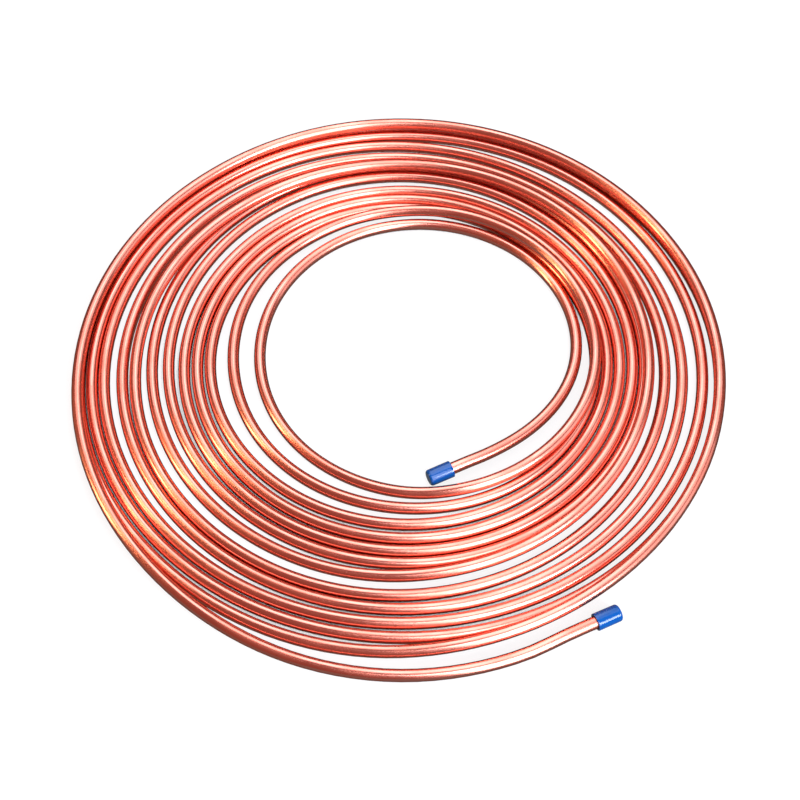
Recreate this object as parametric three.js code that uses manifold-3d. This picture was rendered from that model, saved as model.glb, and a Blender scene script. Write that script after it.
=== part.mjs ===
// A loosely wound coil of soft copper tube, lying flat on one face, with a push-on plastic cap
// on each end. Millimetres, +Z up, origin at the middle of the footprint on the floor.
import * as THREE from 'three';
import { mergeVertices } from 'three/addons/utils/BufferGeometryUtils.js';
import Module from 'manifold-3d';

// Tube: soft drawn copper, 3/8 inch outside.
const TUBE_DIAMETER = 9.525;
const TUBE_WALL = 0.81;
const TUBE_SIDES = 8;

// Winding. The coil is wound anticlockwise from its eye, seen from above, and a turn runs from
// the front, round by the right, the back and the left, to the front again.
// Angles are in degrees, counted on from the front of the first turn.
const TURN_CLEARANCE = 0.3;
const RAYS_PER_TURN = 36;
const INNER_END_ANGLE = 28;
const OUTER_END_ANGLE = 30;
const CLIMB_RAYS = 1;
const END_RISE_RAYS = 3;
const NEIGHBOUR_TURNS = [-2, -1, 1, 2];

// Eight places round a turn: front right, right, back right, back, back left, left, front left
// and front. The first turn's distances from the coil's axis at those places, and the daylight
// between every further turn and the one that it lies beside.
const PLACES_PER_TURN = 8;
const LEAD_IN = [114, 108.5];
const FIRST_TURN = [108.5, 151.5, 154, 139.5, 123, 111, 110.5, 118.5];
const LEAD_OUT = [269, 268];

// A turn on the floor lies beside the last turn on the floor. A riding turn is measured from the
// turn just inside it. Where its daylight is below zero it has no room on the floor, and climbs.
const FURTHER_TURNS = [
  { rides: true, daylight: [25, 3, -2.5, -2, 13, 12, 10.5, 4.5] },
  { rides: false, daylight: [31, 2.5, -2.5, 9, 22, 33.5, 27.5, 19] },
  { rides: false, daylight: [0, 0, 0, 0, 0, 0.5, 2, 2] },
  { rides: false, daylight: [1, 0, 0, 0, 0, 1, 1, 0.5] },
  { rides: false, daylight: [0.5, 0, 3, 7, 7.5, 2.5, 0.5, 0.5] },
  { rides: false, daylight: [0, 0, 0.5, 0.5, 3, 3.5, 4, 1] },
  { rides: true, daylight: [-2, -9.5, -9, -17, -11.5, 5.5, 5.5, 6] },
  { rides: false, daylight: [9, 6.5, 3, 0, 8, 15, 15.5, 16] },
  { rides: false, daylight: [5, 4.5, 1, 4, 3.5, 5.5, 3.5, 0] },
  { rides: false, daylight: [3.5, 7, 9.5, 1, 0, 0, 0.5, 1] },
  { rides: false, daylight: [3.5, 5, 0, 0, 1, 0, 0.5, 4] },
  { rides: true, daylight: [-7.5, -13, -12.5, -13, -16, -13, -2, 10] },
];

// End caps: closed sleeves pushed over straight tube ends.
const INNER_STRAIGHT = 29.5;
const OUTER_STRAIGHT = 28;
const CAP_WALL = 1.6;
const CAP_CLEARANCE = 0.3;
const CAP_GRIP = 18;
const CAP_END_THICKNESS = 1.6;
const CAP_END_ROUND = 2;
const CAP_ROUND_FACES = 4;
const CAP_SEGMENTS = 24;
const BORE_RAYS = 3;
const CUT_OVERRUN = 1;

const COPPER = { color: 0xc8694c, roughness: 0.22, metalness: 1 };
const BLUE_PLASTIC = { color: 0x0050c8, roughness: 0.2, metalness: 0 };

const TUBE_RADIUS = TUBE_DIAMETER / 2;
const BORE_RADIUS = TUBE_RADIUS - TUBE_WALL;
const CAP_BORE_RADIUS = TUBE_RADIUS + CAP_CLEARANCE;
const CAP_RADIUS = CAP_BORE_RADIUS + CAP_WALL;
const REACH = TUBE_DIAMETER + TURN_CLEARANCE;
const UP = new THREE.Vector3(0, 0, 1);

const wasm = await Module();
wasm.setup();

// A path given by its stations. A section carried along it keeps one side level.
class StationPath extends THREE.Curve {
  constructor(stations) {
    super();
    this.stations = stations;
  }

  getPoint(t, target = new THREE.Vector3()) {
    const place = t * (this.stations.length - 1);
    const index = Math.min(Math.floor(place), this.stations.length - 2);
    return target.lerpVectors(this.stations[index], this.stations[index + 1], place - index);
  }

  getSpacedPoints() {
    return this.stations;
  }

  computeFrenetFrames() {
    const last = this.stations.length - 1;
    const tangents = this.stations.map((station, index) => {
      const before = this.stations[Math.max(index - 1, 0)];
      const after = this.stations[Math.min(index + 1, last)];
      return after.clone().sub(before).normalize();
    });
    const normals = tangents.map((tangent) => UP.clone().cross(tangent).normalize());
    const binormals = tangents.map((tangent, index) => tangent.clone().cross(normals[index]));
    return { tangents, normals, binormals };
  }
}

// A regular polygon whose flats touch a circle of the given radius, one of them facing down.
function flatSidedSection(radius) {
  const corner = radius / Math.cos(Math.PI / TUBE_SIDES);
  const points = [];
  for (let side = 0; side < TUBE_SIDES; side += 1) {
    const angle = ((side + 0.5) * 2 * Math.PI) / TUBE_SIDES;
    points.push(new THREE.Vector2(corner * Math.cos(angle), corner * Math.sin(angle)));
  }
  return new THREE.Shape(points);
}

function sweep(radius, stations) {
  const extrudePath = new StationPath(stations);
  return new THREE.ExtrudeGeometry(flatSidedSection(radius), {
    steps: stations.length - 1,
    extrudePath,
  });
}

function toSolid(geometry) {
  const bare = geometry.clone();
  bare.deleteAttribute('normal');
  bare.deleteAttribute('uv');
  const merged = mergeVertices(bare);
  return new wasm.Manifold(new wasm.Mesh({
    numProp: 3,
    vertProperties: merged.attributes.position.array,
    triVerts: Uint32Array.from(merged.index.array),
  }));
}

function toGeometry(solid) {
  const mesh = solid.getMesh();
  const geometry = new THREE.BufferGeometry();
  geometry.setAttribute('position', new THREE.BufferAttribute(mesh.vertProperties, 3));
  geometry.setIndex(new THREE.BufferAttribute(mesh.triVerts, 1));
  geometry.computeVertexNormals();
  return geometry;
}

// Distances of the tube from the coil's axis, at every place of every turn in order.
function placeRadii() {
  const turns = [FIRST_TURN];
  let floorTurn = FIRST_TURN;
  for (const { rides, daylight } of FURTHER_TURNS) {
    const beside = rides ? turns.at(-1) : floorTurn;
    const turn = beside.map((radius, place) => radius + REACH + daylight[place]);
    turns.push(turn);
    if (!rides) {
      floorTurn = turn;
    }
  }
  return [...LEAD_IN, ...turns.flat(), ...LEAD_OUT];
}

// A smooth curve through the places: the uniform cubic B-spline, which keeps two turns as far
// apart as their places are.
function radiusAt(radii, angle) {
  const place = (angle * PLACES_PER_TURN) / 360;
  const index = Math.floor(place);
  const part = place - index;
  const rest = 1 - part;
  const weights = [
    rest ** 3 / 6,
    (4 - 6 * part ** 2 + 3 * part ** 3) / 6,
    (4 - 6 * rest ** 2 + 3 * rest ** 3) / 6,
    part ** 3 / 6,
  ];
  return weights.reduce((sum, weight, offset) => sum + weight * radii[index + offset], 0);
}

// How far an eight-sided tube must rise to clear a like tube on the floor at this distance.
function liftOver(distance) {
  if (distance >= REACH) {
    return 0;
  }
  return Math.min(REACH, Math.SQRT2 * REACH - distance);
}

// The lift that each ray of a riding turn needs over its neighbours on the floor.
function neededLifts(rays) {
  return rays.map((ray, index) => {
    if (!ray.rides) {
      return 0;
    }
    const neighbours = NEIGHBOUR_TURNS.map((turns) => rays[index + turns * RAYS_PER_TURN]);
    const floorNeighbours = neighbours.filter((neighbour) => neighbour && !neighbour.rides);
    return Math.max(...floorNeighbours.map(({ radius }) => liftOver(Math.abs(ray.radius - radius))));
  });
}

// A stiff tube starts to rise before its obstacle: the highest lift near each ray, then a smooth
// average of those, so that no ray ends lower than it needs.
function easedLifts(needed) {
  const offsets = [];
  for (let offset = -CLIMB_RAYS; offset <= CLIMB_RAYS; offset += 1) {
    offsets.push(offset);
  }
  const highest = needed.map((_, index) => {
    const near = offsets.map((offset) => needed[index + offset] ?? 0);
    return Math.max(...near);
  });
  const weights = offsets.map((offset) => Math.cos((offset * Math.PI) / (2 * CLIMB_RAYS + 2)) ** 2);
  const total = weights.reduce((sum, weight) => sum + weight, 0);
  return needed.map((_, index) => offsets.reduce((sum, offset, place) => {
    const near = highest[Math.min(Math.max(index + offset, 0), needed.length - 1)];
    return sum + (near * weights[place]) / total;
  }, 0));
}

// Rays stand at the same angles on every turn, so neighbouring turns run parallel.
function coilRays() {
  const radii = placeRadii();
  const turnCount = FURTHER_TURNS.length + 1;
  const step = 360 / RAYS_PER_TURN;
  const lastAngle = turnCount * 360 + OUTER_END_ANGLE;
  const angles = [];
  for (let angle = INNER_END_ANGLE; angle < lastAngle - step / 2; angle += step) {
    angles.push(angle);
  }
  return [...angles, lastAngle].map((angle) => {
    const turn = Math.floor(angle / 360);
    const rides = turn > 0 && turn < turnCount && FURTHER_TURNS[turn - 1].rides;
    return { angle, rides, radius: radiusAt(radii, angle) };
  });
}

// Near its ends the tube rises to the middle of its caps, which lie on the floor.
function endRise(index, count) {
  const fromEnd = Math.min(index, count - 1 - index);
  const part = Math.min(fromEnd / END_RISE_RAYS, 1);
  return (CAP_RADIUS - TUBE_RADIUS) * (1 + Math.cos(Math.PI * part)) / 2;
}

function straightEnd(end, before, length) {
  const direction = end.clone().sub(before).setZ(0).normalize();
  return end.clone().addScaledVector(direction, length);
}

function tubeStations() {
  const rays = coilRays();
  const lifts = easedLifts(neededLifts(rays));
  const stations = rays.map(({ angle, radius }, index) => {
    const bearing = THREE.MathUtils.degToRad(angle - 90);
    const height = TUBE_RADIUS + lifts[index] + endRise(index, rays.length);
    return new THREE.Vector3(radius * Math.cos(bearing), radius * Math.sin(bearing), height);
  });
  const first = straightEnd(stations[0], stations[1], INNER_STRAIGHT);
  const last = straightEnd(stations.at(-1), stations.at(-2), OUTER_STRAIGHT);
  return [first, ...stations, last];
}

// The bore is cut a short way in from each end; between them the tube is left solid.
function boreFrom(stations) {
  const [end, next] = stations;
  const outward = end.clone().sub(next).normalize();
  const mouth = end.clone().addScaledVector(outward, CUT_OVERRUN);
  return sweep(BORE_RADIUS, [mouth, ...stations.slice(1, BORE_RAYS + 2)]);
}

function copperTube(stations) {
  let solid = toSolid(sweep(TUBE_RADIUS, stations));
  for (const route of [stations, stations.toReversed()]) {
    solid = solid.subtract(toSolid(boreFrom(route)));
  }
  const tube = new THREE.Mesh(toGeometry(solid), new THREE.MeshStandardMaterial(COPPER));
  tube.name = 'copper_tube';
  return tube;
}

// A cap about its own +Y axis, with the tube's end face at its origin.
function capGeometry() {
  const top = CAP_CLEARANCE + CAP_END_THICKNESS;
  const outline = new THREE.Path();
  outline.moveTo(0, -CAP_GRIP);
  outline.lineTo(CAP_RADIUS, -CAP_GRIP);
  outline.lineTo(CAP_RADIUS, top - CAP_END_ROUND);
  outline.absarc(CAP_RADIUS - CAP_END_ROUND, top - CAP_END_ROUND, CAP_END_ROUND, 0, Math.PI / 2);
  outline.lineTo(0, top);
  const body = new THREE.LatheGeometry(outline.getPoints(CAP_ROUND_FACES), CAP_SEGMENTS);
  const mouth = new THREE.Vector3(0, -CAP_GRIP - CUT_OVERRUN, 0);
  const socket = sweep(CAP_BORE_RADIUS, [mouth, new THREE.Vector3(0, CAP_CLEARANCE, 0)]);
  return toGeometry(toSolid(body).subtract(toSolid(socket)));
}

function endCap(name, end, next) {
  const outward = end.clone().sub(next).normalize();
  const side = outward.clone().cross(UP).normalize();
  const cap = new THREE.Mesh(capGeometry(), new THREE.MeshStandardMaterial(BLUE_PLASTIC));
  const turned = new THREE.Matrix4().makeBasis(side, outward, side.clone().cross(outward));
  cap.name = name;
  cap.position.copy(end);
  cap.quaternion.setFromRotationMatrix(turned);
  return cap;
}

const stations = tubeStations();
const coil = new THREE.Group();
coil.add(copperTube(stations));
coil.add(endCap('inner_end_cap', stations[0], stations[1]));
coil.add(endCap('outer_end_cap', stations.at(-1), stations.at(-2)));

const footprint = new THREE.Box3().setFromObject(coil, true).getCenter(new THREE.Vector3());
coil.position.set(-footprint.x, -footprint.y, 0);

export default coil;
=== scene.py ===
"""Finished look of a loose coil of soft copper tube with a blue plastic cap on each end.

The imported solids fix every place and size. The tube that shows is wound here along the same route,
as one smooth round tube with its bore, and each cap is turned afresh with its rounded end and lip.
"""

import logging
import math
from dataclasses import dataclass
from enum import Enum

import bmesh
import bpy
import numpy as np
from mathutils import Matrix, Vector
from numpy.typing import NDArray


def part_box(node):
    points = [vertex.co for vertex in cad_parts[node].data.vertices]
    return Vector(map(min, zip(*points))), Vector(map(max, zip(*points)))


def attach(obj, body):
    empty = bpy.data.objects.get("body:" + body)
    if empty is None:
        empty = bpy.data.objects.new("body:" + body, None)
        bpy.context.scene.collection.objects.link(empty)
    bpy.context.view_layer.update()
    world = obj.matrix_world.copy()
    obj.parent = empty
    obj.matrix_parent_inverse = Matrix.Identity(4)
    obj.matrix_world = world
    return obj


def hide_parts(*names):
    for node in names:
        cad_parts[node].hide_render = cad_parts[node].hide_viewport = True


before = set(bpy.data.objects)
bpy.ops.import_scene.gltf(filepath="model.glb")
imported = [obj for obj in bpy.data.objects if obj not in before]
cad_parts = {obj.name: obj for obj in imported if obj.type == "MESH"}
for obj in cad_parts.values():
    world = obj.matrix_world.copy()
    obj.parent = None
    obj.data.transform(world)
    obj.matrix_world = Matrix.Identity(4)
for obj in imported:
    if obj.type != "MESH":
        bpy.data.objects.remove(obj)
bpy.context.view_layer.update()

Array = NDArray[np.float64]
Colour = tuple[float, float, float]
Place = tuple[float, float, float]

MM = 0.001
BODY = "root"
RUN_ATTRIBUTE = "tube_run"

# Sizes that the tube, its route and its caps share, in millimetres.
TUBE_DIAMETER = 9.525
CAP_CLEARANCE = 0.3
CAP_WALL = 1.6

# Keeps a whole number whole after it has been worked out in parts.
ROUNDING = 1e-9

# Points nearer than this, in metres, are one point.
SAME_SPOT = 1e-7

logging.basicConfig(level=logging.INFO, format="%(name)s: %(message)s")
log = logging.getLogger("coil")


# ---------------------------------------------------------------------------------------------
# Surfaces
# ---------------------------------------------------------------------------------------------


def mesh_from_grid(
    name: str, grid: Array, closed_round: bool = True, closed_length: bool = False
) -> bpy.types.Mesh:
    """Makes a quad mesh of a grid of points.

    Row i and column j of the grid share a quad with row i+1 and column j+1. Columns run round the
    section, and rows along the length.

    Args:
        name: name of the mesh.
        grid: points, shaped rows x columns x 3.
        closed_round: whether the last column joins the first.
        closed_length: whether the last row joins the first.

    Returns:
        The mesh, shaded smooth.
    """
    rows, columns = grid.shape[:2]
    index = np.arange(rows * columns).reshape(rows, columns)
    if closed_round:
        index = np.hstack([index, index[:, :1]])
    if closed_length:
        index = np.vstack([index, index[:1]])
    quads = np.stack(
        [index[:-1, :-1], index[:-1, 1:], index[1:, 1:], index[1:, :-1]], axis=-1
    ).reshape(-1, 4)
    return mesh_from_faces(name, grid.reshape(-1, 3), quads)


def mesh_from_faces(name: str, points: Array, quads: NDArray[np.int64]) -> bpy.types.Mesh:
    """Fills a mesh from whole arrays of points and of four-cornered faces.

    Args:
        name: name of the mesh.
        points: corner places, n x 3.
        quads: corner numbers of each face, m x 4.

    Returns:
        The mesh, shaded smooth.
    """
    mesh = bpy.data.meshes.new(name)
    mesh.vertices.add(len(points))
    mesh.vertices.foreach_set("co", points.ravel())
    mesh.loops.add(quads.size)
    mesh.loops.foreach_set("vertex_index", quads.ravel().astype(np.int32))
    mesh.polygons.add(len(quads))
    mesh.polygons.foreach_set("loop_start", np.arange(0, quads.size, 4, dtype=np.int32))
    mesh.update(calc_edges=True)
    mesh.shade_smooth()
    mesh.validate()
    return mesh


def add_piece(mesh: bpy.types.Mesh, material: bpy.types.Material) -> bpy.types.Object:
    """Puts a mesh into the scene as a piece with one material.

    Args:
        mesh: the mesh, with its place in its points.
        material: the finish.

    Returns:
        The new object, at the origin.
    """
    mesh.materials.append(material)
    piece = bpy.data.objects.new(mesh.name, mesh)
    bpy.context.scene.collection.objects.link(piece)
    return piece


def level_frames(path: Array) -> tuple[Array, Array, Array]:
    """Finds a level frame at every point of a path.

    The tangent is the unit difference of the neighbours, the side is up x tangent, which lies
    level, and the crown is tangent x side, which points as nearly up as it can.

    Args:
        path: centreline points, n x 3.

    Returns:
        Tangents, sides and crowns, each n x 3.
    """
    tangent = np.gradient(path, axis=0)
    tangent /= np.linalg.norm(tangent, axis=1, keepdims=True)
    side = np.cross([0.0, 0.0, 1.0], tangent)
    side /= np.linalg.norm(side, axis=1, keepdims=True)
    return tangent, side, np.cross(tangent, side)


def carried_ring(path: Array, radius: float, sides: int) -> Array:
    """Carries a circle along a path.

    Point(i, j) = path(i) + radius * (cos(a) * side(i) + sin(a) * crown(i)), with a = 2 pi j / sides.

    Args:
        path: centreline points, n x 3.
        radius: radius of the circle.
        sides: points round the circle.

    Returns:
        Grid of points, n x sides x 3.
    """
    _, side, crown = level_frames(path)
    angle = 2 * np.pi * np.arange(sides) / sides
    across = np.cos(angle)[None, :, None] * side[:, None, :]
    upward = np.sin(angle)[None, :, None] * crown[:, None, :]
    return path[:, None, :] + radius * (across + upward)


# ---------------------------------------------------------------------------------------------
# Winding
# ---------------------------------------------------------------------------------------------


class Lay(Enum):
    """How a turn of the coil lies."""

    FLOOR = "beside the last turn on the floor"
    RIDING = "measured from the turn just inside, and over it where there is no room"


@dataclass(frozen=True)
class Turn:
    """One turn of the coil.

    Attributes:
        lay: how the turn lies.
        daylight: gap in millimetres to the turn that it is measured from, at eight places.
    """

    lay: Lay
    daylight: tuple[float, ...]


@dataclass(frozen=True)
class Winding:
    """Route of the tube, wound anticlockwise from its eye; lengths in millimetres.

    The eight places of a turn are front right, right, back right, back, back left, left, front
    left and front. Angles are in degrees, counted on from the front of the first turn.
    """

    tube_diameter: float = TUBE_DIAMETER
    clearance: float = 0.3
    rays_per_turn: int = 36
    places_per_turn: int = 8
    inner_end_angle: float = 28.0
    outer_end_angle: float = 30.0
    climb_rays: int = 1
    end_rise_rays: int = 3
    inner_straight: float = 29.5
    outer_straight: float = 28.0
    cap_radius: float = TUBE_DIAMETER / 2 + CAP_CLEARANCE + CAP_WALL
    steps_per_ray: int = 4
    neighbour_turns: tuple[int, ...] = (-2, -1, 1, 2)
    lead_in: tuple[float, ...] = (114, 108.5)
    first_turn: tuple[float, ...] = (108.5, 151.5, 154, 139.5, 123, 111, 110.5, 118.5)
    lead_out: tuple[float, ...] = (269, 268)
    turns: tuple[Turn, ...] = (
        Turn(Lay.RIDING, (25, 3, -2.5, -2, 13, 12, 10.5, 4.5)),
        Turn(Lay.FLOOR, (31, 2.5, -2.5, 9, 22, 33.5, 27.5, 19)),
        Turn(Lay.FLOOR, (0, 0, 0, 0, 0, 0.5, 2, 2)),
        Turn(Lay.FLOOR, (1, 0, 0, 0, 0, 1, 1, 0.5)),
        Turn(Lay.FLOOR, (0.5, 0, 3, 7, 7.5, 2.5, 0.5, 0.5)),
        Turn(Lay.FLOOR, (0, 0, 0.5, 0.5, 3, 3.5, 4, 1)),
        Turn(Lay.RIDING, (-2, -9.5, -9, -17, -11.5, 5.5, 5.5, 6)),
        Turn(Lay.FLOOR, (9, 6.5, 3, 0, 8, 15, 15.5, 16)),
        Turn(Lay.FLOOR, (5, 4.5, 1, 4, 3.5, 5.5, 3.5, 0)),
        Turn(Lay.FLOOR, (3.5, 7, 9.5, 1, 0, 0, 0.5, 1)),
        Turn(Lay.FLOOR, (3.5, 5, 0, 0, 1, 0, 0.5, 4)),
        Turn(Lay.RIDING, (-7.5, -13, -12.5, -13, -16, -13, -2, 10)),
    )

    @property
    def reach(self) -> float:
        """Least distance between two turns that lie on the same level."""
        return self.tube_diameter + self.clearance

    def place_radii(self) -> Array:
        """Distances from the coil's axis at every place of every turn in order."""
        radii = [np.array(self.first_turn, float)]
        floor_turn = radii[0]
        for turn in self.turns:
            beside = radii[-1] if turn.lay is Lay.RIDING else floor_turn
            radii.append(beside + self.reach + np.array(turn.daylight, float))
            if turn.lay is Lay.FLOOR:
                floor_turn = radii[-1]
        return np.concatenate([self.lead_in, *radii, self.lead_out])

    @staticmethod
    def spline(values: Array, place: Array) -> Array:
        """Reads the uniform cubic B-spline of some values.

        With f the part of the place past its whole number i and g = 1 - f, the weights of values
        i to i+3 are g^3, 4 - 6 f^2 + 3 f^3, 4 - 6 g^2 + 3 g^3 and f^3, each over 6.

        Args:
            values: control values.
            place: where to read, in steps of one value.

        Returns:
            The smoothed value at each place.
        """
        index = np.clip(np.floor(place + ROUNDING).astype(int), 0, len(values) - 4)
        f = place - index
        g = 1 - f
        weights = (g**3, 4 - 6 * f**2 + 3 * f**3, 4 - 6 * g**2 + 3 * g**3, f**3)
        return sum(w * values[index + k] for k, w in enumerate(weights)) / 6

    def ray_angles(self) -> Array:
        """Angles of the rays, the same on every turn but for the last ray, at the tube's end."""
        step = 360 / self.rays_per_turn
        last = 360 * (len(self.turns) + 1) + self.outer_end_angle
        return np.append(np.arange(self.inner_end_angle, last - step / 2, step), last)

    def radius_at(self, angle: Array) -> Array:
        """Distance of the centreline from the coil's axis at each angle."""
        return self.spline(self.place_radii(), angle * self.places_per_turn / 360)

    def ray_lifts(self) -> Array:
        """Height of each ray above its place on the floor.

        A riding turn over a floor turn at distance d rises by the lesser of the reach and
        sqrt(2) * reach - d. The highest need near a ray is taken, then a smooth average of those.

        Returns:
            One lift for each ray.
        """
        angle = self.ray_angles()
        radius = self.radius_at(angle)
        turn = np.floor(angle / 360 + ROUNDING).astype(int)
        riding = np.array([False, *(t.lay is Lay.RIDING for t in self.turns), False])[turn]
        count = len(angle)
        need = np.zeros(count)
        for turns_away in self.neighbour_turns:
            other = np.arange(count) + turns_away * self.rays_per_turn
            inside = (other >= 0) & (other < count)
            other = np.clip(other, 0, count - 1)
            distance = np.abs(radius - radius[other])
            lift = np.minimum(self.reach, math.sqrt(2) * self.reach - distance)
            lift[distance >= self.reach] = 0
            need = np.maximum(need, np.where(inside & riding & ~riding[other], lift, 0))
        window = np.arange(-self.climb_rays, self.climb_rays + 1)
        padded = np.pad(need, self.climb_rays)
        highest = np.max([padded[k : k + count] for k in range(len(window))], axis=0)
        weights = np.cos(window * np.pi / (2 * self.climb_rays + 2)) ** 2
        padded = np.pad(highest, self.climb_rays, mode="edge")
        return np.convolve(padded, weights / weights.sum(), mode="valid")

    def centreline(self) -> Array:
        """Works out the tube's centreline about the coil's axis.

        Bearing = angle - 90 degrees; x and y = radius * (cos, sin) of it; z = tube radius + lift +
        the rise to the caps' middles. Within a ray of each end the route eases from the curve into
        the straight line through the last two rays, which then runs on to the tube's end.

        Returns:
            Points in millimetres, n x 3.
        """
        rays = self.ray_angles()
        step = 1 / self.steps_per_ray
        ray = np.arange(0, len(rays) - 1 + step / 2, step)
        angle = np.interp(ray, np.arange(len(rays)), rays)
        flat = self.on_plan(self.radius_at(angle), angle)
        corners = self.on_plan(self.radius_at(rays), rays)
        flat = self.eased_end(flat, corners[0], corners[1], ray)
        flat = self.eased_end(flat, corners[-1], corners[-2], ray[-1] - ray)

        lifts = np.pad(self.ray_lifts(), (1, 2), mode="edge")
        from_end = np.minimum(ray, ray[-1] - ray) / self.end_rise_rays
        tube_radius = self.tube_diameter / 2
        rise = (self.cap_radius - tube_radius) * (1 + np.cos(np.pi * np.minimum(from_end, 1))) / 2
        height = tube_radius + self.spline(lifts, ray) + rise
        curve = np.column_stack([flat, height])
        first = self.straight(curve[0], corners[0] - corners[1], self.inner_straight)[::-1]
        last = self.straight(curve[-1], corners[-1] - corners[-2], self.outer_straight)
        return np.vstack([first, curve, last])

    @staticmethod
    def on_plan(radius: Array, angle: Array) -> Array:
        """Places seen from above, from distances and angles."""
        bearing = np.radians(angle - 90)
        return np.column_stack([radius * np.cos(bearing), radius * np.sin(bearing)])

    @staticmethod
    def eased_end(flat: Array, end: Array, before: Array, ray: Array) -> Array:
        """Eases the plan from the chord of the end ray into the curve.

        Point = chord + (curve - chord) * (3 r^2 - 2 r^3), for a ray r from 0 to 1 off the end.

        Args:
            flat: points on plan, n x 2.
            end: the end ray's point.
            before: the next ray's point.
            ray: how many rays each point lies from this end.

        Returns:
            The eased points.
        """
        part = np.clip(ray, 0, 1)[:, None]
        ease = part**2 * (3 - 2 * part)
        chord = end + part * (before - end)
        return np.where(part < 1, chord + (flat - chord) * ease, flat)

    @staticmethod
    def straight(end: Array, direction: Array, length: float, steps: int = 6) -> Array:
        """Points along a level straight that runs on from an end of the curve."""
        outward = np.array([*direction, 0.0]) / np.linalg.norm(direction)
        return end + outward * (length * np.arange(1, steps + 1) / steps)[:, None]


# ---------------------------------------------------------------------------------------------
# Finishes
# ---------------------------------------------------------------------------------------------


class ShaderBuilder:
    """Short-hand for adding and joining shader nodes in one tree."""

    # Numbers of the colour sockets of a Mix node, whose names aren't unique.
    MIX_FIRST, MIX_SECOND, MIX_RESULT = 6, 7, 2

    def __init__(self, tree: bpy.types.NodeTree) -> None:
        """Keeps the tree that nodes are added to."""
        self.tree = tree

    def node(self, kind: str, **settings: object) -> bpy.types.Node:
        """Adds a node.

        Args:
            kind: Blender's name of the node type.
            settings: properties to set on it.

        Returns:
            The node.
        """
        made = self.tree.nodes.new(kind)
        for name, value in settings.items():
            setattr(made, name, value)
        return made

    def put(self, value: object, socket: bpy.types.NodeSocket) -> None:
        """Joins an output to a socket, or sets the socket to a value."""
        if isinstance(value, bpy.types.NodeSocket):
            self.tree.links.new(value, socket)
        else:
            socket.default_value = value

    def math(self, operation: str, *values: object, clamp: bool = False) -> bpy.types.NodeSocket:
        """Adds a Math node on the values and returns its output."""
        made = self.node("ShaderNodeMath", operation=operation, use_clamp=clamp)
        for value, socket in zip(values, made.inputs):
            self.put(value, socket)
        return made.outputs[0]

    def stretch(self, vector: object, scale: Place) -> bpy.types.NodeSocket:
        """Multiplies a vector by a scale for each axis and returns the result."""
        made = self.node("ShaderNodeVectorMath", operation="MULTIPLY")
        self.put(vector, made.inputs[0])
        self.put(scale, made.inputs[1])
        return made.outputs[0]

    def noise(
        self, vector: object, scale: float, detail: float, rough: float = 0.5
    ) -> bpy.types.NodeSocket:
        """Adds a noise pattern on a vector and returns its value, about 0 to 1."""
        made = self.node("ShaderNodeTexNoise")
        self.put(vector, made.inputs["Vector"])
        self.put(scale, made.inputs["Scale"])
        self.put(detail, made.inputs["Detail"])
        self.put(rough, made.inputs["Roughness"])
        return made.outputs["Fac"]

    def between(
        self, value: object, low: float, high: float, to_low: float = 0.0, to_high: float = 1.0
    ) -> bpy.types.NodeSocket:
        """Maps a value smoothly from one range to another and returns the result."""
        made = self.node("ShaderNodeMapRange", interpolation_type="SMOOTHSTEP")
        for entry, socket in zip((value, low, high, to_low, to_high), made.inputs):
            self.put(entry, socket)
        return made.outputs[0]

    def mix(self, share: object, first: object, second: object) -> bpy.types.NodeSocket:
        """Mixes two colours by a share and returns the colour."""
        made = self.node("ShaderNodeMix", data_type="RGBA")
        self.put(share, made.inputs["Factor"])
        self.put(self.opaque(first), made.inputs[self.MIX_FIRST])
        self.put(self.opaque(second), made.inputs[self.MIX_SECOND])
        return made.outputs[self.MIX_RESULT]

    @staticmethod
    def opaque(colour: object) -> object:
        """Gives a written colour its alpha; leaves an output as it is."""
        return (*colour, 1.0) if isinstance(colour, tuple) else colour


def new_material(name: str) -> tuple[bpy.types.Material, ShaderBuilder, bpy.types.Node]:
    """Starts a material.

    Args:
        name: the material's name.

    Returns:
        The material, a builder on its tree and its Principled node.
    """
    material = bpy.data.materials.new(name)
    material.use_nodes = True
    return material, ShaderBuilder(material.node_tree), material.node_tree.nodes["Principled BSDF"]


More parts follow.
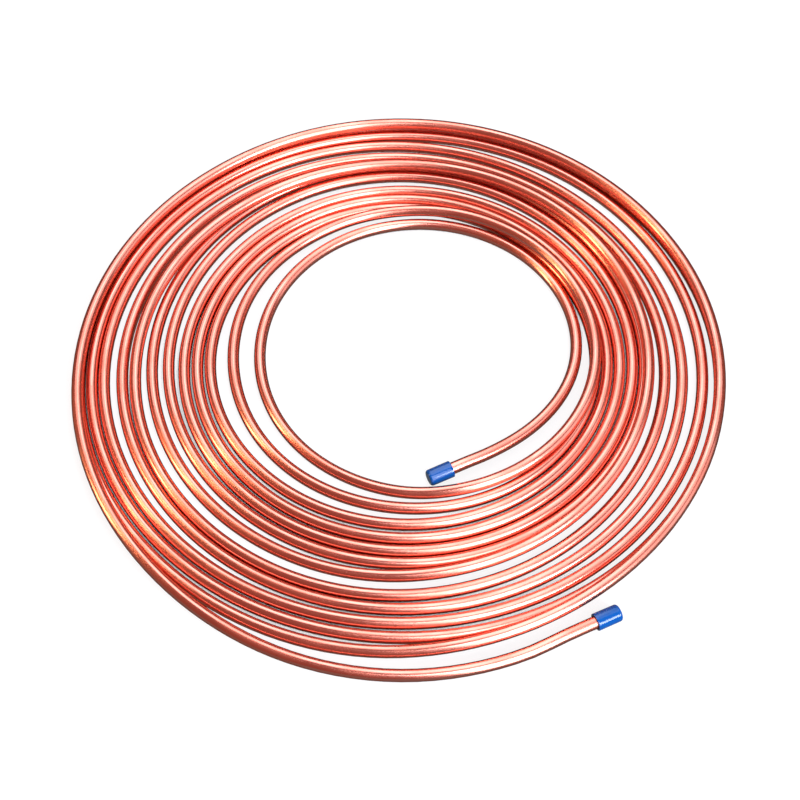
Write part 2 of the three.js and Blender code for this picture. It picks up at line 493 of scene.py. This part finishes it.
class SurfaceWear:
    """Shader group of soft smudges and fine scuffs, with its pattern in metres."""

    NAME = "surface_wear"
    SMUDGE_MARKS = (0.38, 0.68)
    SCUFF_MARKS = (0.60, 0.72)

    # Detail and roughness of the two noise patterns.
    SMUDGE_NOISE = (4.0, 0.55)
    SCUFF_NOISE = (6.0, 0.7)

    @classmethod
    def group(cls) -> bpy.types.NodeTree:
        """Builds the group once.

        Returns:
            A group with inputs Vector, Smudge Scale and Scuff Scale, and outputs Smudge and Scuff,
            both masks from 0 to 1.
        """
        if cls.NAME in bpy.data.node_groups:
            return bpy.data.node_groups[cls.NAME]
        tree = bpy.data.node_groups.new(cls.NAME, "ShaderNodeTree")
        tree.interface.new_socket("Vector", in_out="INPUT", socket_type="NodeSocketVector")
        tree.interface.new_socket("Smudge Scale", in_out="INPUT", socket_type="NodeSocketFloat")
        tree.interface.new_socket("Scuff Scale", in_out="INPUT", socket_type="NodeSocketFloat")
        tree.interface.new_socket("Smudge", in_out="OUTPUT", socket_type="NodeSocketFloat")
        tree.interface.new_socket("Scuff", in_out="OUTPUT", socket_type="NodeSocketFloat")
        build = ShaderBuilder(tree)
        given = build.node("NodeGroupInput")
        result = build.node("NodeGroupOutput")
        vector = given.outputs["Vector"]
        smudge = build.noise(vector, given.outputs["Smudge Scale"], *cls.SMUDGE_NOISE)
        build.put(build.between(smudge, *cls.SMUDGE_MARKS), result.inputs["Smudge"])
        scuff = build.noise(vector, given.outputs["Scuff Scale"], *cls.SCUFF_NOISE)
        build.put(build.between(scuff, *cls.SCUFF_MARKS), result.inputs["Scuff"])
        return tree

    @classmethod
    def place(
        cls, build: ShaderBuilder, vector: object, smudge_scale: float, scuff_scale: float
    ) -> tuple[bpy.types.NodeSocket, bpy.types.NodeSocket]:
        """Puts the group into a material.

        Args:
            build: builder of the material's tree.
            vector: coordinates in metres.
            smudge_scale: smudges in a metre.
            scuff_scale: scuffs in a metre.

        Returns:
            The smudge and scuff masks.
        """
        made = build.node("ShaderNodeGroup", node_tree=cls.group())
        build.put(vector, made.inputs["Vector"])
        build.put(smudge_scale, made.inputs["Smudge Scale"])
        build.put(scuff_scale, made.inputs["Scuff Scale"])
        return made.outputs["Smudge"], made.outputs["Scuff"]


@dataclass(frozen=True)
class DrawnCopper:
    """Bright soft copper, drawn through a die: faint lines along it, and a little tarnish.

    Attributes:
        bright: colour of the clean metal.
        tarnished: colour of the dulled metal.
        painted_dark_rim: tint of what the metal mirrors at a glancing angle, kept near black as painted
            shade, so that the tube's edges go dark as if they mirrored a shaded floor.
        roughness: blur of what the metal mirrors, at its middle.
        lines_across: drawing lines in a metre round the tube.
        lines_along: breaks of a line in a metre along the tube.
        line_detail: levels of detail in the lines.
        patch_stretch: how patches are scaled along the tube and across it, twice.
        tarnish_scale: dull patches in a metre.
        scuff_scale: scuffs in a metre.
        tarnish_in_patches: how far a patch is dulled.
        tarnish_in_lines: how far a drawing line is dulled.
        blur_in_patches: roughness that a patch adds.
        blur_in_lines: roughness that a drawing line adds.
        blur_in_scuffs: roughness that a scuff adds.
        line_bump: strength of the lines' relief.
        line_depth: depth of the lines' relief, in metres.
    """

    bright: Colour = (0.95, 0.37, 0.28)
    tarnished: Colour = (0.86, 0.22, 0.14)
    painted_dark_rim: Colour = (0.12, 0.02, 0.01)
    roughness: float = 0.22
    lines_across: float = 900.0
    lines_along: float = 6.0
    line_detail: float = 3.0
    patch_stretch: Place = (1.0, 3.0, 3.0)
    tarnish_scale: float = 26.0
    scuff_scale: float = 420.0
    tarnish_in_patches: float = 0.45
    tarnish_in_lines: float = 0.2
    blur_in_patches: float = 0.08
    blur_in_lines: float = 0.06
    blur_in_scuffs: float = 0.08
    line_bump: float = 0.03
    line_depth: float = 0.0002

    def material(self) -> bpy.types.Material:
        """Builds the material on the tube's own run: distance along it and place round it."""
        material, build, shader = new_material("drawn_copper")
        run = build.node("ShaderNodeAttribute", attribute_name=RUN_ATTRIBUTE).outputs["Vector"]
        lines = build.noise(
            build.stretch(run, (self.lines_along, self.lines_across, self.lines_across)),
            1.0,
            self.line_detail,
        )
        smudge, scuff = SurfaceWear.place(
            build, build.stretch(run, self.patch_stretch), self.tarnish_scale, self.scuff_scale
        )
        tarnish = build.math("MULTIPLY", smudge, self.tarnish_in_patches)
        in_lines = build.math("MULTIPLY", lines, self.tarnish_in_lines)
        tarnish = build.math("ADD", tarnish, in_lines, clamp=True)
        build.put(build.mix(tarnish, self.bright, self.tarnished), shader.inputs["Base Color"])
        clean = self.roughness - self.blur_in_patches / 2
        rough = build.math("MULTIPLY_ADD", smudge, self.blur_in_patches, clean)
        rough = build.math("MULTIPLY_ADD", lines, self.blur_in_lines, rough)
        rough = build.math("MULTIPLY_ADD", scuff, self.blur_in_scuffs, rough)
        build.put(rough, shader.inputs["Roughness"])
        bump = build.node("ShaderNodeBump")
        build.put(self.line_bump, bump.inputs["Strength"])
        build.put(self.line_depth, bump.inputs["Distance"])
        build.put(lines, bump.inputs["Height"])
        build.put(bump.outputs["Normal"], shader.inputs["Normal"])
        build.put(1.0, shader.inputs["Metallic"])
        # Painted shade: a near-black glancing tint that darkens the tube's edges.
        build.put((*self.painted_dark_rim, 1.0), shader.inputs["Specular Tint"])
        return material


@dataclass(frozen=True)
class CapPlastic:
    """Glossy blue moulded plastic, faintly scuffed.

    Attributes:
        colour: colour of the plastic.
        scuffed: colour of it where scuffed.
        roughness: blur under the gloss.
        smudge_scale: smudges in a metre.
        scuff_scale: scuffs in a metre.
        colour_in_smudges: how far a smudge takes the scuffed colour.
        colour_in_scuffs: how far a scuff takes the scuffed colour.
        blur_in_smudges: roughness that a smudge adds.
        blur_in_scuffs: roughness that a scuff adds.
        smudge_bump: strength of the smudges' relief.
        smudge_depth: depth of the smudges' relief, in metres.
        density: how strongly the plastic bends light.
        own_shine: shine of the plastic under its gloss.
        gloss: share of the surface that is glossy.
        gloss_blur: blur of the gloss.
    """

    colour: Colour = (0.0, 0.085, 0.36)
    scuffed: Colour = (0.0, 0.11, 0.42)
    roughness: float = 0.10
    smudge_scale: float = 160.0
    scuff_scale: float = 900.0
    colour_in_smudges: float = 0.2
    colour_in_scuffs: float = 0.5
    blur_in_smudges: float = 0.08
    blur_in_scuffs: float = 0.15
    smudge_bump: float = 0.08
    smudge_depth: float = 0.0002
    density: float = 1.5
    own_shine: float = 0.05
    gloss: float = 0.75
    gloss_blur: float = 0.06

    def material(self) -> bpy.types.Material:
        """Builds the material on Object coordinates."""
        material, build, shader = new_material("cap_plastic")
        place = build.node("ShaderNodeTexCoord").outputs["Object"]
        smudge, scuff = SurfaceWear.place(build, place, self.smudge_scale, self.scuff_scale)
        in_smudges = build.math("MULTIPLY", smudge, self.colour_in_smudges)
        share = build.math("MULTIPLY_ADD", scuff, self.colour_in_scuffs, in_smudges, clamp=True)
        build.put(build.mix(share, self.colour, self.scuffed), shader.inputs["Base Color"])
        rough = build.math("MULTIPLY_ADD", smudge, self.blur_in_smudges, self.roughness)
        rough = build.math("MULTIPLY_ADD", scuff, self.blur_in_scuffs, rough)
        build.put(rough, shader.inputs["Roughness"])
        bump = build.node("ShaderNodeBump")
        build.put(self.smudge_bump, bump.inputs["Strength"])
        build.put(self.smudge_depth, bump.inputs["Distance"])
        build.put(smudge, bump.inputs["Height"])
        build.put(bump.outputs["Normal"], shader.inputs["Normal"])
        build.put(self.density, shader.inputs["IOR"])
        build.put(self.own_shine, shader.inputs["Specular IOR Level"])
        build.put(self.gloss, shader.inputs["Coat Weight"])
        build.put(self.gloss_blur, shader.inputs["Coat Roughness"])
        return material


@dataclass(frozen=True)
class StudioWhite:
    """Plain floor that looks white where the lamps reach it, and keeps the coil's shadow. Where the
    turns close it in, it also has painted shade: an occlusion test takes its white away there.

    Attributes:
        colour: colour of the sheet that the eye sees under the lamps. It takes the shadow.
        bounce: darker colour that the sheet has for everything else, so it lends little light.
        glow: brightness added for the eye near the coil, which brings the lit sheet up to white.
        surround: distances from the middle over which that rises to full white, in metres.
        gloss_share: share of white that metal and glass show of the sheet and the room.
        roughness: how matt the sheet is.
        painted_shade_reach: how near the sheet something must lie to close it in, in metres; within that
            the sheet gets painted shade.
        painted_shade_samples: rays that look for that.
        painted_shade_openness: how open a spot is when its painted shade starts to give way to white,
            and when it shows all the white.
        room: colour of the little light that the room itself lends.
    """

    colour: Colour = (0.20, 0.20, 0.20)
    bounce: Colour = (0.03, 0.03, 0.03)
    glow: float = 0.84
    surround: tuple[float, float] = (0.40, 0.90)
    gloss_share: float = 0.18
    roughness: float = 0.9
    painted_shade_reach: float = 0.006
    painted_shade_samples: int = 8
    painted_shade_openness: tuple[float, float] = (0.12, 0.20)
    room: Colour = (1.0, 0.24, 0.15)

    def material(self) -> bpy.types.Material:
        """Builds a matt sheet that glows for camera, glossy and transmitted rays, with painted shade
        where the coil closes it in.
        """
        material, build, shader = new_material("studio_white")
        build.put(self.roughness, shader.inputs["Roughness"])
        build.put(0.0, shader.inputs["Specular IOR Level"])
        shade = build.node("ShaderNodeAmbientOcclusion", samples=self.painted_shade_samples)
        build.put(self.painted_shade_reach, shade.inputs["Distance"])
        # Painted shade: where the occlusion test finds the sheet closed in by the turns, its colour goes
        # to black.
        free_of_painted_shade = build.between(shade.outputs["AO"], *self.painted_shade_openness)
        eye = build.node("ShaderNodeLightPath").outputs["Is Camera Ray"]
        sheet = build.mix(eye, self.bounce, self.colour)
        build.put(build.mix(free_of_painted_shade, (0.0, 0.0, 0.0), sheet), shader.inputs["Base Color"])
        away = build.node("ShaderNodeVectorMath", operation="LENGTH")
        build.put(build.node("ShaderNodeNewGeometry").outputs["Position"], away.inputs[0])
        glow = self.seen(build, build.between(away.outputs["Value"], *self.surround, self.glow, 1.0))
        build.put((1.0, 1.0, 1.0, 1.0), shader.inputs["Emission Color"])
        # The painted shade takes the glow away as well, so narrow gaps show grey or black.
        build.put(build.math("MULTIPLY", glow, free_of_painted_shade), shader.inputs["Emission Strength"])
        return material

    def world(self, air: float) -> bpy.types.World:
        """Builds a room that looks white, with little light of its own.

        Args:
            air: brightness that the room lends to everything in it.

        Returns:
            The world.
        """
        world = bpy.data.worlds.new("studio_air")
        world.use_nodes = True
        build = ShaderBuilder(world.node_tree)
        background = world.node_tree.nodes["Background"]
        seen = self.seen(build, 1.0)
        build.put(build.mix(seen, self.room, (1.0, 1.0, 1.0)), background.inputs["Color"])
        build.put(build.math("ADD", seen, air, clamp=True), background.inputs["Strength"])
        return world

    def seen(self, build: ShaderBuilder, eye: object) -> bpy.types.NodeSocket:
        """How much white a ray sees: what is given for the eye, and the gloss share for gloss.

        Args:
            build: builder of the tree to work in.
            eye: how much white a camera ray sees.

        Returns:
            The share of the white that the ray sees.
        """
        rays = build.node("ShaderNodeLightPath")
        gloss = build.math("MAXIMUM", rays.outputs["Is Glossy Ray"], rays.outputs["Is Transmission Ray"])
        camera = build.math("MULTIPLY", rays.outputs["Is Camera Ray"], eye)
        return build.math("MULTIPLY_ADD", gloss, self.gloss_share, camera)


# ---------------------------------------------------------------------------------------------
# Sub-assemblies
# ---------------------------------------------------------------------------------------------


@dataclass
class CopperTube:
    """The one length of tube, with its wall and its bore from end to end; lengths in metres."""

    route: Array
    finish: DrawnCopper
    radius: float = TUBE_DIAMETER / 2 * MM
    wall: float = 0.81 * MM
    sides: int = 28
    bore_every: int = 2
    node: str = "copper_tube"

    def build(self) -> bpy.types.Object:
        """Builds the tube: outer skin, two end faces and bore, closed as one wall.

        The outer ring is carried along the route and the bore's ring is carried back, so that a
        row of faces joins the two at each end.

        Returns:
            The tube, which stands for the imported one.
        """
        back = self.bore_rows()
        outer = carried_ring(self.route, self.radius, self.sides)
        bore = carried_ring(self.route, self.radius - self.wall, self.sides)[back]
        mesh = mesh_from_grid("copper_tube_drawn", np.concatenate([outer, bore]), closed_length=True)
        self.mark_run(mesh, back)
        tube = add_piece(mesh, self.finish.material())
        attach(tube, BODY)
        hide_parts(self.node)
        return tube

    def bore_rows(self) -> NDArray[np.int64]:
        """Rows of the route that the bore has a ring on, from the last to the first."""
        last = len(self.route) - 1
        return np.concatenate([np.arange(last, 0, -self.bore_every), [0]])

    def mark_run(self, mesh: bpy.types.Mesh, back: NDArray[np.int64]) -> None:
        """Stores each point's distance along the tube and its place round the section.

        Args:
            mesh: the tube's mesh, a grid of rows out along the skin and back along the bore.
            back: rows of the route that the bore has a ring on.
        """
        steps = np.linalg.norm(np.diff(self.route, axis=0), axis=1)
        along = np.concatenate([[0.0], np.cumsum(steps)])
        along = np.concatenate([along, along[back]])
        angle = 2 * np.pi * np.arange(self.sides) / self.sides
        run = np.empty((len(along), self.sides, 3))
        run[..., 0] = along[:, None]
        run[..., 1] = self.radius * np.cos(angle)
        run[..., 2] = self.radius * np.sin(angle)
        attribute = mesh.attributes.new(RUN_ATTRIBUTE, "FLOAT_VECTOR", "POINT")
        attribute.data.foreach_set("vector", run.astype(np.float32).ravel())


class TubeEnd(Enum):
    """The two ends of the tube, each with the node of its cap."""

    INNER = "inner_end_cap"
    OUTER = "outer_end_cap"


@dataclass
class EndCap:
    """A moulded cap pushed over one end of the tube; lengths in metres."""

    end: TubeEnd
    route: Array
    finish: bpy.types.Material
    tube_radius: float = TUBE_DIAMETER / 2 * MM
    clearance: float = CAP_CLEARANCE * MM
    wall: float = CAP_WALL * MM
    grip: float = 18.0 * MM
    end_thickness: float = 1.6 * MM
    end_round: float = 2.0 * MM
    lip_round: float = 0.35 * MM
    draft: float = 0.12 * MM
    lip_squareness: float = 0.6
    inner_ring: float = 0.9
    segments: int = 56
    round_steps: int = 9
    wall_steps: int = 8

    def outline(self) -> Array:
        """Half section of the cap: distance from the axis, and place along it.

        It runs from the middle of the closed end, round its edge, down the outside with a slight
        draft, round the lip, and up the socket to the middle of the socket's floor. The long walls
        are stepped, so that their shading stays straight between the round edges.

        Returns:
            Points, n x 2.
        """
        outside = self.tube_radius + self.clearance + self.wall
        inside = self.tube_radius + self.clearance
        top = self.clearance + self.end_thickness
        shoulder = outside - self.draft
        turn = np.linspace(0, np.pi / 2, self.round_steps)
        dome = np.column_stack([
            shoulder - self.end_round + self.end_round * np.sin(turn),
            top - self.end_round + self.end_round * np.cos(turn),
        ])
        lip = np.linspace(0, np.pi, 2 * self.round_steps)
        middle = (outside + inside) / 2
        half = (outside - inside) / 2
        mouth = np.column_stack([
            middle + half * np.sign(np.cos(lip)) * np.abs(np.cos(lip)) ** self.lip_squareness,
            -self.grip + self.lip_round - self.lip_round * np.sin(lip) ** self.lip_squareness,
        ])
        step = np.linspace(0, 1, self.wall_steps + 2)[1:-1, None]
        floor_edge = np.array([inside, self.clearance])
        outer_wall = dome[-1] + step * (mouth[0] - dome[-1])
        socket_wall = mouth[-1] + step * (floor_edge - mouth[-1])
        middle_of_top = np.array([[0.0, top]])
        near_top = np.array([[(shoulder - self.end_round) * self.inner_ring, top]])
        near_floor = np.array([[inside * self.inner_ring, self.clearance], [0.0, self.clearance]])
        return np.vstack([
            middle_of_top, near_top, dome, outer_wall, mouth, socket_wall, floor_edge, near_floor
        ])

    def axes(self) -> tuple[Array, Array, Array, Array]:
        """Place of the tube's end face, and the cap's outward, side and crown directions."""
        ends = self.route[:2] if self.end is TubeEnd.INNER else self.route[:-3:-1]
        outward = (ends[0] - ends[1]) / np.linalg.norm(ends[0] - ends[1])
        side = np.cross([0.0, 0.0, 1.0], outward)
        side /= np.linalg.norm(side)
        return ends[0], outward, side, np.cross(outward, side)

    def build(self) -> bpy.types.Object:
        """Turns the outline about the tube's axis.

        Point(i, j) = end + along(i) * outward + distance(i) * (cos(a) * side + sin(a) * crown).

        Returns:
            The cap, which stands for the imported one.
        """
        profile = self.outline()
        place, outward, side, crown = self.axes()
        angle = 2 * np.pi * np.arange(self.segments) / self.segments
        spoke = np.cos(angle)[:, None] * side + np.sin(angle)[:, None] * crown
        grid = place + profile[:, 1][:, None, None] * outward + profile[:, 0][:, None, None] * spoke
        mesh = mesh_from_grid(f"{self.end.value}_moulded", grid)
        cap = add_piece(mesh, self.finish)
        merge_poles(mesh)
        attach(cap, BODY)
        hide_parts(self.end.value)
        return cap


def merge_poles(mesh: bpy.types.Mesh) -> None:
    """Merges the points that lie on one spot at a turned shape's poles, and points faces outwards."""
    work = bmesh.new()
    work.from_mesh(mesh)
    bmesh.ops.remove_doubles(work, verts=work.verts, dist=SAME_SPOT)
    bmesh.ops.recalc_face_normals(work, faces=work.faces)
    work.to_mesh(mesh)
    work.free()
    mesh.shade_smooth()


# ---------------------------------------------------------------------------------------------
# Studio
# ---------------------------------------------------------------------------------------------


COOL: Colour = (0.92, 1.0, 1.12)
WARM: Colour = (1.0, 0.74, 0.42)


@dataclass(frozen=True)
class Softbox:
    """A soft lamp aimed at the coil.

    Attributes:
        name: the lamp's name.
        place: where its middle stands, in metres.
        width: size across, in metres.
        length: size along, in metres.
        turn: turn about its own aim, in degrees.
        brightness: brightness of its face, where 1 is white.
        colour: colour of its light.
    """

    name: str
    place: Place
    width: float
    length: float
    turn: float
    brightness: float
    colour: Colour = (1.0, 1.0, 1.0)

    def build(self, aim: Vector) -> None:
        """Adds the lamp. Its power = brightness * pi * area."""
        lamp = bpy.data.lights.new(self.name, "AREA")
        lamp.shape = "RECTANGLE"
        lamp.size = self.width
        lamp.size_y = self.length
        lamp.energy = self.brightness * math.pi * self.width * self.length
        lamp.color = self.colour
        holder = bpy.data.objects.new(self.name, lamp)
        bpy.context.scene.collection.objects.link(holder)
        toward = (aim - Vector(self.place)).to_track_quat("-Z", "Y").to_matrix().to_4x4()
        spin = Matrix.Rotation(math.radians(self.turn), 4, "Z")
        holder.matrix_world = Matrix.Translation(self.place) @ toward @ spin


@dataclass(frozen=True)
class Studio:
    """Floor that looks white, soft lamps and camera."""

    camera_place: Place = (0.00028, -0.59654, 0.9365)
    camera_aim: Place = (0.00028, -0.02714, 0.0)
    lens: float = 61.16
    floor_half: float = 3.0
    air: float = 0.09
    white: StudioWhite = StudioWhite()
    softboxes: tuple[Softbox, ...] = (
        Softbox("overhead_sheet", (0.0, 1.10, 1.8), 3.4, 1.7, -25.0, 1.25, COOL),
        Softbox("overhead_core", (0.0, 0.95, 1.55), 0.5, 2.6, 15.0, 1.6, COOL),
        Softbox("front_strip", (0.80, -1.50, 1.35), 1.0, 3.0, 0.0, 5.2, COOL),
        Softbox("front_foot", (1.35, -1.30, 0.90), 0.45, 0.75, 0.0, 17.0, COOL),
        Softbox("right_sheet", (2.1, -0.6, 1.0), 2.2, 1.9, 0.0, 1.05, COOL),
        Softbox("left_strip", (-2.2, -0.15, 0.8), 0.35, 1.3, 0.0, 10.0, WARM),
        Softbox("left_top", (-1.25, 0.30, 1.80), 0.14, 1.2, 44.0, 10.0, WARM),
    )

    def build(self) -> None:
        """Builds the floor, the room, the lamps and the camera."""
        self.build_floor()
        bpy.context.scene.world = self.white.world(self.air)
        for softbox in self.softboxes:
            softbox.build(Vector((0.0, 0.0, 0.0)))
        self.build_camera()
        bpy.context.scene.view_settings.view_transform = "Standard"

    def build_floor(self) -> None:
        """Lays a level sheet under the coil."""
        reach = np.array([-self.floor_half, self.floor_half])
        x, y = np.meshgrid(reach, reach, indexing="xy")
        grid = np.stack([x, y, np.zeros_like(x)], axis=-1)
        mesh = mesh_from_grid("studio_floor", grid, closed_round=False)
        add_piece(mesh, self.white.material())

    def build_camera(self) -> None:
        """Stands the camera in front of the coil, looking down at it."""
        lens = bpy.data.cameras.new("camera")
        lens.sensor_width = 36.0
        lens.lens = self.lens
        camera = bpy.data.objects.new("camera", lens)
        bpy.context.scene.collection.objects.link(camera)
        camera.location = self.camera_place
        aim = Vector(self.camera_aim) - Vector(self.camera_place)
        camera.rotation_euler = aim.to_track_quat("-Z", "Y").to_euler()
        bpy.context.scene.camera = camera


def packed_route(winding: Winding, node: str, radius: float, sides: int) -> Array:
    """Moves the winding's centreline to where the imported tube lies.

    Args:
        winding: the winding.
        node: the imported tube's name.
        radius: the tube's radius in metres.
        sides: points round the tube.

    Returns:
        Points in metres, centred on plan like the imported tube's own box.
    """
    path = winding.centreline() * MM
    low, high = (np.array(corner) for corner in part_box(node))
    ring = carried_ring(path, radius, sides).reshape(-1, 3)
    shift = (low + high) / 2 - (ring.min(axis=0) + ring.max(axis=0)) / 2
    return path + shift * [1.0, 1.0, 0.0]


def main() -> None:
    """Builds the tube, its caps and the studio, and reports each piece."""
    route = packed_route(Winding(), CopperTube.node, CopperTube.radius, CopperTube.sides)
    plastic = CapPlastic().material()
    made = [CopperTube(route, DrawnCopper()).build()]
    made += [EndCap(end, route, plastic).build() for end in TubeEnd]
    for piece in made:
        log.info("%s has %d faces", piece.name, len(piece.data.polygons))
    Studio().build()


if __name__ == "__main__":
    main()
